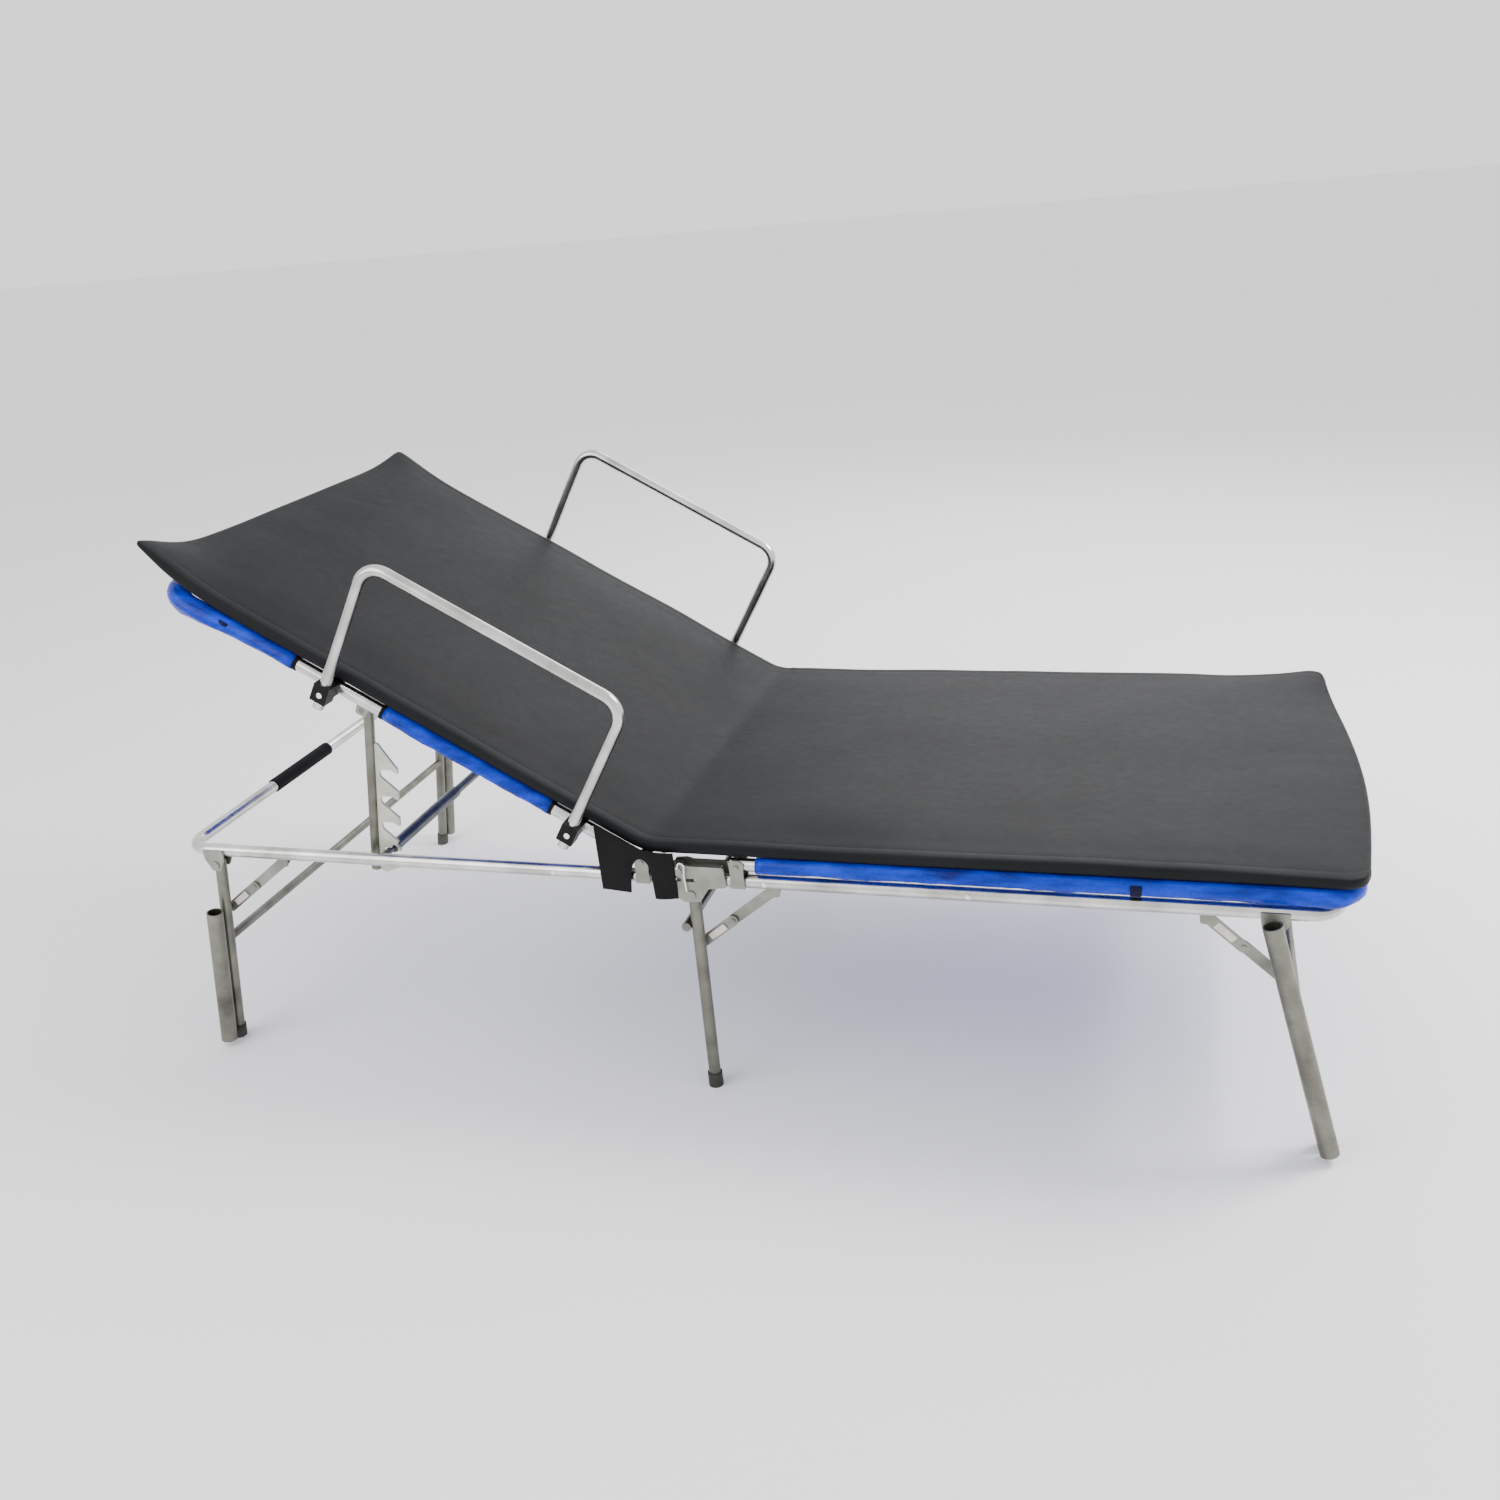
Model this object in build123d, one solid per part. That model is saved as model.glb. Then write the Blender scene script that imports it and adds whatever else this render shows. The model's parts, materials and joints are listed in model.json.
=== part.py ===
from build123d import *
import math
import os

# Folding relief cot with a raised backrest. Millimetres, head towards -X, patient's left towards +Y.
SIDES = {"left": 1, "right": -1}
RUN = 0.05               # running clearance
SEAT = 0.02              # clearance of pieces that are fixed together
CLEAR = 0.3              # soft pieces from their neighbours
THROUGH = 30.0           # half length of a cut through everything at a side tube

TUBE_R = 11.0            # frame tubes
TUBE_WALL = 1.5
RAIL_Y = 411.0           # centre line of both side tubes of every frame
RAIL_Z = 399.0
RAIL_END = 970.0         # cross tube of either base half, from the hip
RAIL_GAP_HEAD = 36.0     # open ends of the base halves at the hip
RAIL_GAP_FOOT = 6.0
BEND = 48.0
GRIP_WALL = 2.5
GRIP_Y = (-137.0, 54.0)

DECK_Z = RAIL_Z + 2 * TUBE_R + 7.0
DECK_END = RAIL_END + 19.0
DECK_START = 68.0
BRACKET_X = 80.0         # deck bracket on the foot half, backrest pivot on the head half
BACK_END = DECK_END - BRACKET_X
BACK_ANGLE = 30.0        # rest pose
BACK_TAIL = 12.0
CLOTH = 2.0
SLEEVE_R = TUBE_R + CLOTH
RACK_S = 533.0           # rack pivot along the backrest from its own pivot
RACK_N = -28.0           # and below its centre line
SLEEVE_FOOT_START = 110.0
SLEEVE_BACK = ((175.0, RACK_S - 45.0), (RACK_S + 129.0, None))
BINDING = 6.0            # width of the tape
BINDING_GAP = 0.5

MAT_THICK = 23.7
MAT_BOTTOM = SLEEVE_R + CLEAR    # above the deck tube's centre line
MAT_TOP = MAT_BOTTOM + MAT_THICK
MAT_HALF_WIDTH = RAIL_Y + SLEEVE_R
MAT_HEAD = BACK_END + 56.0       # along the backrest from its pivot
MAT_FOOT = DECK_END + 15.0
MAT_JOIN = 45.0
HIP_X = (RAIL_END + TUBE_R + GRIP_WALL - MAT_FOOT) / 2    # mid-leg pivot, from the middle of the length

PIN_R = 5.0
HINGE_X, HINGE_Z = -20.0, RAIL_Z + TUBE_R + 8.0

PLATE_THICK = 3.98
PLATE_OUT = (RAIL_Y + TUBE_R + SEAT, RAIL_Y + TUBE_R + SEAT + PLATE_THICK)
PLATE_IN = (RAIL_Y - TUBE_R - SEAT - PLATE_THICK, RAIL_Y - TUBE_R - SEAT)
SPACER_HALF = TUBE_R + 2.0       # spacers and rivets reach this far into both plates
BRACKET_THICK = 3.15
EAR_HALF = 7.0
BOLT_HEAD_R, BOLT_HEAD = 8.0, 2.45
BOLT_FACE = PLATE_OUT[1] + RUN + BOLT_HEAD
NUT_R, NUT = 7.0, 4.05
CLIP_R, CLIP_OUT = 1.3, 2.0

LINK_THICK = 3.0
LINK_OUT = (PLATE_IN[0] - 0.8 - LINK_THICK, PLATE_IN[0] - 0.8)
LINK_IN = (LINK_OUT[0] - 1.0 - LINK_THICK, LINK_OUT[0] - 1.0)
LINK_R = 9.0
RIVET_R = 4.0

LEG_R = 10.2
LEG_DROP = 13.0            # leg pivot below the side rail
FOLD_GAP = 0.4             # rail over the feet of folded legs
LEG_PIVOT_Z = RAIL_Z - TUBE_R - LEG_DROP
# pivot x, foot x, brace pivot on the rail, brace pivot on the leg, folding direction
LEGS = {
    "head": (-(RAIL_END - 66.0), -(RAIL_END - 9.0), 122.0, 104.0, 1),
    "mid": (0.0, 0.0, 131.0, 104.0, 1),
    "foot": (RAIL_END - 90.0, RAIL_END + 8.0, 92.0, 110.0, -1),
}
LEG_TOP = 7.0
FOOT_R = LEG_DROP - FOLD_GAP
FOOT_UP = 26.0
SOLE = 10.0
LEG_BAR_R = 8.0
LEG_BAR_DOWN = {"head": 161.0, "mid": 65.0, "foot": 161.0}
SOCKET_BORE_R = 12.0
SOCKET_R = SOCKET_BORE_R + 2.5
SOCKET_Y = BOLT_FACE + 0.6 + SOCKET_R    # clear of the bolt head
SOCKET_FLOOR = 5.0
SOCKET_TOP = {"head": 87.0, "foot": -19.0}    # below the leg pivot
SOCKET_WEB = {"head": 111.0, "foot": 24.0}    # top of the upper web that joins it to the leg

RACK_LEAN = 9.1
RACK_Y = RAIL_Y - 33.0
RACK_POST_R = 8.8
RACK_PITCH = 50.0
RACK_NOTCHES = 4
RACK_TIP = 50.0
RACK_TAIL = 38.0                 # post past the last pocket
POCKET = (25.0, 9.0)             # off the post, radius
LUG_THICK = 3.7
RACK_BAR_R = 8.0
RACK_BAR_OFF = 27.0              # bar off the post in the last pocket
RACK_BAR_Z = RAIL_Z + 0.58
SPIGOT_R = 6.0
RACK_TURN = -110.9               # rack against the backrest while the backrest goes flat

CLAMP_S = (124.0, 588.0)
CLAMP_R = TUBE_R + 2.0
CLAMP_HALF = 14.0
HANDRAIL_R = 9.5
CLAMP_REACH = HANDRAIL_R + 2.5   # half depth of the clamp's block
CLAMP_DROP = 20.0                # block outside the tube, below its centre line
HANDRAIL_Y = RAIL_Y + 31.0
HANDRAIL_LOW, HANDRAIL_HIGH = -34.0, 246.0
HANDRAIL_BEND = 38.0


def cross_cylinder(radius, y0, y1, x=0.0, z=0.0):
    """Cylinder along Y between two distances, for a pin, bar or rivet."""
    low, high = min(y0, y1), max(y0, y1)
    return Pos(x, (low + high) / 2, z) * (Rot(90, 0, 0) * Cylinder(radius, high - low))


def block(x0, x1, y0, y1, z0, z1):
    low, high = min(y0, y1), max(y0, y1)
    return Pos((x0 + x1) / 2, (low + high) / 2, (z0 + z1) / 2) * Box(x1 - x0, high - low, z1 - z0)


def through(radius, side, x, z, centre=RAIL_Y):
    return cross_cylinder(radius, side * (centre - THROUGH), side * (centre + THROUGH), x, z)


def from_rail(points, x=0.0):
    """Outline given from a place on the rail's centre line."""
    return [(x + px, RAIL_Z + pz) for px, pz in points]


def plate(points, y0, y1, corner=0.0):
    """Flat plate in XZ between two distances across the cot."""
    low, high = min(y0, y1), max(y0, y1)
    face = make_face(Polyline(*points, close=True))
    if corner:
        face = fillet(face.vertices(), corner)
    return Pos(0, high, 0) * (Rot(90, 0, 0) * extrude(face, high - low))


def bent_tube(points, radius, bend, wall=TUBE_WALL):
    path = FilletPolyline(*points, radius=bend)
    ring = Circle(radius) - Circle(radius - wall)
    return sweep(Plane(origin=path @ 0, z_dir=path % 0) * ring, path=path)


def u_frame(start, end, z, radius=TUBE_R, wall=TUBE_WALL):
    return bent_tube([(start, -RAIL_Y, z), (end, -RAIL_Y, z), (end, RAIL_Y, z), (start, RAIL_Y, z)],
                     radius, BEND, wall)


def both_sides(make):
    return Compound(children=[make(side) for side in SIDES.values()])


def on_backrest(shape):
    """Moves a shape drawn lying flat, with the backrest pivot at the origin, onto the raised backrest."""
    return Pos(-BRACKET_X, 0, DECK_Z) * (Rot(0, BACK_ANGLE, 0) * shape)


def backrest_point(along, above):
    a = math.radians(BACK_ANGLE)
    return (-BRACKET_X - along * math.cos(a) + above * math.sin(a),
            DECK_Z + along * math.sin(a) + above * math.cos(a))


# ---------------------------------------------------------------- base frames

def base_rail(direction, gap):
    return u_frame(direction * gap, direction * RAIL_END, RAIL_Z)


def hip_gussets():
    outline = from_rail([(-33, 9), (-30, 29), (-10, 31), (0, 28), (58, 28), (62, -7), (31, -11),
                         (15, -35), (-12, -37), (-32, -23)])

    def one(side):
        outer = plate(outline, side * PLATE_OUT[0], side * PLATE_OUT[1], 3)
        for x in (-22, 2):
            slot = from_rail([(-8, 0), (8, 0), (8, 6), (-8, 6)], x)
            outer -= plate(slot, side * (PLATE_OUT[0] - 2), side * (PLATE_OUT[1] + 4), 2.5)
        inner = plate(outline, side * PLATE_IN[0], side * PLATE_IN[1], 3)
        spacer = cross_cylinder(4, side * (RAIL_Y - SPACER_HALF), side * (RAIL_Y + SPACER_HALF),
                                -24, RAIL_Z - 15)
        flange = block(4, 54, side * (RAIL_Y + 2), side * (RAIL_Y + SPACER_HALF), RAIL_Z + 25, RAIL_Z + 28)
        holes = through(PIN_R + SEAT, side, HINGE_X, HINGE_Z)
        holes += through(PIN_R + SEAT, side, 0, LEG_PIVOT_Z)
        return outer + inner + spacer + flange - holes
    return both_sides(one)


def leg_gussets(name):
    """Saddle of two plates that carries a leg under a base rail."""
    x = LEGS[name][0]
    away = -LEGS[name][4]
    outline = from_rail([(-21, 5), (21, 5), (19, -13), (8, -35), (-8, -35), (-19, -13)], x)

    def one(side):
        body = plate(outline, side * PLATE_OUT[0], side * PLATE_OUT[1], 3)
        body += plate(outline, side * PLATE_IN[0], side * PLATE_IN[1], 3)
        body += cross_cylinder(2.5, side * (RAIL_Y - SPACER_HALF), side * (RAIL_Y + SPACER_HALF),
                               x + away * 14.5, RAIL_Z - TUBE_R - 3.5)
        return body - through(PIN_R + SEAT, side, x, LEG_PIVOT_Z)
    return both_sides(one)


def bolts(x, z):
    def one(side):
        nut_face = PLATE_IN[0] - RUN
        shaft = cross_cylinder(PIN_R, side * (nut_face - NUT), side * (BOLT_FACE - BOLT_HEAD / 2), x, z)
        head = cross_cylinder(BOLT_HEAD_R, side * (BOLT_FACE - BOLT_HEAD), side * BOLT_FACE, x, z)
        nut = cross_cylinder(NUT_R, side * (nut_face - NUT), side * nut_face, x, z)
        return shaft + head + nut
    return both_sides(one)


def hairpin_clips():
    bends = [(2, 5), (6, 18), (15, 12), (13, -6), (15, -34)]

    def one(side):
        y = side * (BOLT_FACE + CLIP_OUT)
        path = FilletPolyline(*[(HINGE_X + x, y, HINGE_Z + z) for x, z in bends], radius=4)
        return sweep(Plane(origin=path @ 0, z_dir=path % 0) * Circle(CLIP_R), path=path)
    return both_sides(one)


def head_ears():
    def one(side):
        x_end = HINGE_X - 42
        neck = from_rail([(x_end, 3), (x_end, 20), (-36, 26.5)])
        y0, y1 = side * (RAIL_Y - EAR_HALF), side * (RAIL_Y + EAR_HALF)
        ear = plate(neck + [(HINGE_X, HINGE_Z + 9), (HINGE_X, HINGE_Z - 9)] + from_rail([(-36, 3)]), y0, y1)
        ear += cross_cylinder(9, y0, y1, HINGE_X, HINGE_Z)
        rail = Pos(-60, side * RAIL_Y, RAIL_Z) * (Rot(0, 90, 0) * Cylinder(TUBE_R + SEAT, 200))
        return ear - rail - through(PIN_R + RUN, side, HINGE_X, HINGE_Z)
    return both_sides(one)


def tube_brackets(direction):
    """Plates and bolt that hold a deck tube over the rail."""
    x = direction * BRACKET_X
    top, shoulder = DECK_Z + SLEEVE_R - 0.5, DECK_Z + SLEEVE_R - 5
    head = [(x + 12, shoulder), (x + 5, top), (x - 5, top), (x - 12, shoulder)]
    outline = from_rail([(-13, -8), (13, -8), (11, 13)], x) + head + from_rail([(-11, 13)], x)
    near = TUBE_R + RUN

    def one(side):
        body = plate(outline, side * (RAIL_Y + near), side * (RAIL_Y + near + BRACKET_THICK), 2)
        body += plate(outline, side * (RAIL_Y - near - BRACKET_THICK), side * (RAIL_Y - near), 2)
        bolt_end = RAIL_Y + near + BRACKET_THICK + 2.3
        return body + cross_cylinder(RIVET_R, side * (RAIL_Y - SPACER_HALF), side * bolt_end, x, DECK_Z)
    return both_sides(one)


def drilled(frame, x, z, radius):
    for side in SIDES.values():
        frame -= through(radius, side, x, z)
    return frame


def carry_grip():
    low, high = GRIP_Y
    grip = cross_cylinder(TUBE_R + GRIP_WALL, low, high, -RAIL_END, RAIL_Z)
    return grip - cross_cylinder(TUBE_R + SEAT, low - 3, high + 3, -RAIL_END, RAIL_Z)


# ---------------------------------------------------------------- deck, cloth and mat

def sleeve(path_points):
    return bent_tube(path_points, SLEEVE_R, BEND, SLEEVE_R - TUBE_R - SEAT)


def straight_sleeve(s0, s1, side, z=0.0):
    tube = Cylinder(SLEEVE_R, s1 - s0) - Cylinder(TUBE_R + SEAT, s1 - s0)
    return Pos(-(s0 + s1) / 2, side * RAIL_Y, z) * (Rot(0, 90, 0) * tube)


def cloth_sheet(x0, x1, z=0.0, inset=6.0):
    half = RAIL_Y - inset
    return block(x0, x1, -half, half, z + SLEEVE_R - CLOTH, z + SLEEVE_R)


def fabric_foot():
    end = DECK_END
    cover = sleeve([(SLEEVE_FOOT_START, -RAIL_Y, DECK_Z), (end, -RAIL_Y, DECK_Z),
                    (end, RAIL_Y, DECK_Z), (SLEEVE_FOOT_START, RAIL_Y, DECK_Z)])
    return cover + cloth_sheet(SLEEVE_FOOT_START, end - 10, DECK_Z)


def fabric_back():
    (first, second), (third, _) = SLEEVE_BACK
    end = -BACK_END
    cover = sleeve([(-third, -RAIL_Y, 0), (end, -RAIL_Y, 0), (end, RAIL_Y, 0), (-third, RAIL_Y, 0)])
    for side in SIDES.values():
        cover += straight_sleeve(first, second, side)
    sheet = cloth_sheet(end + 10, -first, inset=22.0)
    for low, high in ((-second, -first), (end + 10, -third)):
        sheet += cloth_sheet(low, high)
    return on_backrest(cover + sheet)


def bindings():
    rings = []
    out = BINDING / 2 + BINDING_GAP
    (first, second), (third, _) = SLEEVE_BACK
    for s in (first - out, second + out, third - out):
        for side in SIDES.values():
            ring = Cylinder(SLEEVE_R + 0.1, BINDING) - Cylinder(TUBE_R + SEAT, BINDING)
            rings.append(on_backrest(Pos(-s, side * RAIL_Y, 0) * (Rot(0, 90, 0) * ring)))
    return Compound(children=rings)


def mat_block(length):
    body = Box(length, 2 * MAT_HALF_WIDTH, MAT_TOP - MAT_BOTTOM)
    return fillet(body.edges().filter_by(Axis.Z), 18)


def mat_foot():
    length = MAT_FOOT - MAT_JOIN
    return Pos(MAT_JOIN + length / 2, 0, DECK_Z + (MAT_TOP + MAT_BOTTOM) / 2) * mat_block(length)


def mat_back():
    length = MAT_HEAD - MAT_JOIN
    return on_backrest(Pos(-MAT_JOIN - length / 2, 0, (MAT_TOP + MAT_BOTTOM) / 2) * mat_block(length))


def mat_hip():
    """Bend of the mat between its two flat lengths."""
    half = math.radians(BACK_ANGLE / 2)

    def crease(above):
        return (-BRACKET_X + above * math.tan(half), DECK_Z + above)
    end = MAT_JOIN - CLEAR
    outline = [(end, DECK_Z + MAT_BOTTOM), (end, DECK_Z + MAT_TOP), crease(MAT_TOP),
               backrest_point(end, MAT_TOP), backrest_point(end, MAT_BOTTOM),
               crease(MAT_BOTTOM)]
    return plate(outline, -MAT_HALF_WIDTH, MAT_HALF_WIDTH)


# ---------------------------------------------------------------- backrest rack

def rack_bar_down():
    """Distance down the post from the rack pivot to the bar, which lies in the base rails' plane."""
    lean = math.radians(RACK_LEAN)
    pivot_z = backrest_point(RACK_S, RACK_N)[1]
    return (pivot_z - RACK_BAR_OFF * math.sin(lean) - RACK_BAR_Z) / math.cos(lean)


def rack_bar_place():
    x, z = backrest_point(RACK_S, RACK_N)
    lean = math.radians(RACK_LEAN)
    down = rack_bar_down()
    return (x + RACK_BAR_OFF * math.cos(lean) - down * math.sin(lean),
            z - RACK_BAR_OFF * math.sin(lean) - down * math.cos(lean))


def last_pocket():
    return rack_bar_down() + 2.2


def on_rack(shape):
    x, z = backrest_point(RACK_S, RACK_N)
    return Pos(x, 0, z) * (Rot(0, RACK_LEAN, 0) * shape)


def rack_lugs():
    def one(side):
        outline = [(-RACK_S - 13, 5), (-RACK_S + 13, 5), (-RACK_S + 10, RACK_N - 9),
                   (-RACK_S - 10, RACK_N - 9)]
        face = RAIL_Y - TUBE_R - 0.1
        lug = plate(outline, side * (face - LUG_THICK), side * face, 3)
        lug -= through(PIN_R + RUN, side, -RACK_S, RACK_N)
        return on_backrest(lug)
    return both_sides(one)


def rack_posts():
    length = last_pocket() + RACK_TAIL

    def one(side):
        post = Pos(0, side * RACK_Y, -length / 2) * Cylinder(RACK_POST_R, length)
        post -= Pos(0, side * RACK_Y, -20 - length / 2) * Cylinder(RACK_POST_R - TUBE_WALL, length)
        post += cross_cylinder(RACK_POST_R + 1.2, side * (RACK_Y - 8), side * (RACK_Y + 8))
        return on_rack(post - through(PIN_R + SEAT, side, 0, 0, RACK_Y))
    return both_sides(one)


def rack_rod():
    end = RAIL_Y - TUBE_R - 0.4    # clear of the base rails when the backrest is flat
    return on_rack(cross_cylinder(PIN_R, -end, end))


def bar_in_rack(share):
    """Place of the head frame's bar as the rack sees it, with the backrest part way down."""
    x, z = backrest_point(RACK_S, RACK_N)
    lean = math.radians(RACK_LEAN)
    bar = rack_bar_place()
    lower = math.radians(-BACK_ANGLE * share)
    turn = lower - math.radians(RACK_TURN * share)
    px, pz = x + BRACKET_X, z - DECK_Z
    moved = (-BRACKET_X + px * math.cos(lower) + pz * math.sin(lower),
             DECK_Z - px * math.sin(lower) + pz * math.cos(lower))
    dx, dz = bar[0] - moved[0], bar[1] - moved[1]
    angle = lean + turn
    return (dx * math.cos(angle) - dz * math.sin(angle), -(dx * math.sin(angle) + dz * math.cos(angle)))


def rack_plates():
    centre, radius = POCKET
    back = RACK_POST_R + SEAT
    last = last_pocket()
    top = last - (RACK_NOTCHES - 1) * RACK_PITCH
    outline = [(back, -(top - 56)), (back + 5, -(top - 56)), (RACK_TIP, -(top - 14)),
               (RACK_TIP, -(last + 24)), (back + 13, -(last + RACK_TAIL + 3)), (back, -(last + RACK_TAIL))]

    def one(side):
        y0, y1 = side * (RACK_Y - 2.5), side * (RACK_Y + 2.5)
        body = plate(outline, y0, y1)
        for k in range(RACK_NOTCHES):
            c = top + k * RACK_PITCH
            body -= through(radius, side, centre, -c, RACK_Y)
            mouth = [(centre, -(c - radius)), (38, -(c - 10.5)), (46, -(c - 6.5)), (62, -(c - 6.5)),
                     (62, -(c + 36)), (centre - 6.4, -(c + 6.4))]
            body -= plate(mouth, side * (RACK_Y - 10), side * (RACK_Y + 10))
        for step in range(9):
            off, down = bar_in_rack(step / 40)
            body -= through(SPIGOT_R + 0.5, side, off, -down, RACK_Y)
        return on_rack(body)
    return both_sides(one)


def rack_bar():
    """Bar across the head frame, with a spigot at each end that lies in the rack."""
    half = RACK_Y - 8
    bar = cross_cylinder(RACK_BAR_R, -half, half)
    bar += cross_cylinder(SPIGOT_R, -(RAIL_Y - 6), RAIL_Y - 6)
    for side in SIDES.values():
        bar += cross_cylinder(10.5, side * 130, side * (half - 6))
    x, z = rack_bar_place()
    bar = Pos(x, 0, z) * bar
    for side in SIDES.values():
        bar -= Pos(x, side * RAIL_Y, RAIL_Z) * (Rot(0, 90, 0) * Cylinder(TUBE_R + SEAT, 400))
    return bar


# ---------------------------------------------------------------- side rails

def handrail(side):
    y = side * HANDRAIL_Y
    near, far = CLAMP_S
    points = [(-near, y, HANDRAIL_LOW), (-near, y, HANDRAIL_HIGH), (-far, y, HANDRAIL_HIGH),
              (-far, y, HANDRAIL_LOW)]
    return on_backrest(bent_tube(points, HANDRAIL_R, HANDRAIL_BEND))


def clamp(side, s):
    hub = Rot(0, 90, 0) * Cylinder(CLAMP_R, 2 * CLAMP_HALF)
    body = Pos(-s, side * RAIL_Y, 0) * hub
    body += block(-s - CLAMP_HALF, -s + CLAMP_HALF, side * RAIL_Y, side * (HANDRAIL_Y + CLAMP_REACH),
                  -CLAMP_REACH, CLAMP_REACH)
    body += block(-s - CLAMP_HALF, -s + CLAMP_HALF, side * (RAIL_Y + CLAMP_R + 3),
                  side * (HANDRAIL_Y + CLAMP_REACH), -CLAMP_DROP, 0)
    body -= Pos(-s, side * RAIL_Y, 0) * (Rot(0, 90, 0) * Cylinder(TUBE_R + RUN, 60))
    body -= Pos(-s, side * HANDRAIL_Y, 0) * Cylinder(HANDRAIL_R + SEAT, 60)
    return on_backrest(body)


# ---------------------------------------------------------------- legs

def splay(name):
    pivot, foot = LEGS[name][:2]
    return math.degrees(math.atan2(pivot - foot, LEG_PIVOT_Z))


def leg_length(name):
    return LEG_PIVOT_Z / math.cos(math.radians(splay(name)))


def on_leg(name, shape):
    return Pos(LEGS[name][0], 0, LEG_PIVOT_Z) * (Rot(0, splay(name), 0) * shape)


def leg(name, side):
    brace = LEGS[name][3]
    length = leg_length(name) - SOLE + LEG_TOP
    tube = Pos(0, side * RAIL_Y, LEG_TOP - length / 2) * (
        Cylinder(LEG_R, length) - Cylinder(LEG_R - TUBE_WALL, length))
    inner = LINK_IN[0] - 0.7 if name == "foot" else LINK_OUT[0] - 0.5
    tube += cross_cylinder(RIVET_R, side * inner, side * (RAIL_Y - LEG_R + 1), 0, -brace)
    tube += cross_cylinder(6.5, side * (LINK_OUT[1] + 0.5), side * (RAIL_Y - LEG_R + 1), 0, -brace)
    return on_leg(name, tube - through(PIN_R + RUN, side, 0, 0))


def feet(name):
    def one(side):
        length = leg_length(name)
        cap = Pos(0, side * RAIL_Y, -length + (FOOT_UP - 14) / 2) * Cylinder(FOOT_R, FOOT_UP + 14)
        stop = Pos(0, side * RAIL_Y, -(length - SOLE) / 2) * Cylinder(LEG_R + SEAT, length - SOLE)
        foot = on_leg(name, cap - stop)
        near, far = side * (RAIL_Y - THROUGH), side * (RAIL_Y + THROUGH)
        return foot - block(-2 * RAIL_END, 2 * RAIL_END, near, far, -60, 0)
    return both_sides(one)


def leg_bar(name):
    down = LEG_BAR_DOWN[name]
    if name == "mid":
        half = RAIL_Y + 7
        return on_leg(name, cross_cylinder(LEG_BAR_R, -half, half, -LEG_R - LEG_BAR_R - SEAT, -down))
    bar = cross_cylinder(LEG_BAR_R, -(RAIL_Y - 3), RAIL_Y - 3, 0, -down)
    for side in SIDES.values():
        bar -= Pos(0, side * RAIL_Y, -down) * Cylinder(LEG_R + SEAT, 60)
    return on_leg(name, bar)


def socket(name, side):
    length = leg_length(name)
    top = SOCKET_TOP[name] / math.cos(math.radians(splay(name)))
    low = length - 14.0
    tube = Pos(0, side * SOCKET_Y, -(top + low) / 2) * Cylinder(SOCKET_R, low - top)
    for at in (SOCKET_WEB[name] / math.cos(math.radians(splay(name))), low - 60):
        tube += block(-2, 2, side * (RAIL_Y + LEG_R + RUN), side * SOCKET_Y, -at - 16, -at)
    bore = low - top - SOCKET_FLOOR
    return on_leg(name, tube - Pos(0, side * SOCKET_Y, -top - bore / 2) * Cylinder(SOCKET_BORE_R, bore))


# ---------------------------------------------------------------- folding braces

def brace_geometry(name):
    pivot, foot, a, b, toward = LEGS[name]
    lean = math.radians(abs(splay(name)))
    bx, bz = -b * math.sin(lean), -b * math.cos(lean)
    span = math.hypot(a - bx, bz)
    upper = (span + (a - b)) / 2
    share = upper / span
    middle = (a + (bx - a) * share, bz * share)
    return (a, 0.0), middle, (bx, bz)


def link(name, start, end, layer, hole, boss):
    pivot, toward = LEGS[name][0], LEGS[name][4]
    x0, z0 = pivot + toward * start[0], LEG_PIVOT_Z + start[1]
    x1, z1 = pivot + toward * end[0], LEG_PIVOT_Z + end[1]
    length = math.hypot(x1 - x0, z1 - z0)
    nx, nz = -(z1 - z0) / length * LINK_R, (x1 - x0) / length * LINK_R

    def one(side):
        y0, y1 = side * layer[0], side * layer[1]
        bar = plate([(x0 + nx, z0 + nz), (x1 + nx, z1 + nz), (x1 - nx, z1 - nz), (x0 - nx, z0 - nz)], y0, y1)
        bar += cross_cylinder(LINK_R, y0, y1, x0, z0) + cross_cylinder(LINK_R, y0, y1, x1, z1)
        bar -= cross_cylinder(hole, side * (LINK_IN[0] - 8), side * (LINK_OUT[1] + 5), x0, z0)
        if boss:
            bar += cross_cylinder(RIVET_R, side * (layer[1] - 1), side * (layer[1] + 1.8), x1, z1)
        return bar
    return both_sides(one)


def upper_links(name):
    rail_end, middle, _ = brace_geometry(name)
    swapped = name == "foot"
    return link(name, rail_end, middle, LINK_OUT if swapped else LINK_IN, RIVET_R + RUN, swapped)


def lower_links(name):
    _, middle, leg_end = brace_geometry(name)
    swapped = name == "foot"
    return link(name, leg_end, middle, LINK_IN if swapped else LINK_OUT, RIVET_R + RUN, not swapped)


def brace_lugs(name):
    pivot, _, a, _, toward = LEGS[name]
    x = pivot + toward * a
    end = LINK_OUT[0] - 0.6 if name == "foot" else LINK_IN[0] - 0.6

    def one(side):
        outline = from_rail([(-12, 3), (12, 3)], x) + [(x + 9, LEG_PIVOT_Z - 9), (x - 9, LEG_PIVOT_Z - 9)]
        lug = plate(outline, side * PLATE_IN[0], side * PLATE_IN[1], 4)
        return lug + cross_cylinder(RIVET_R, side * end, side * (RAIL_Y - SPACER_HALF), x, LEG_PIVOT_Z)
    return both_sides(one)


# ---------------------------------------------------------------- parts

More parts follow.
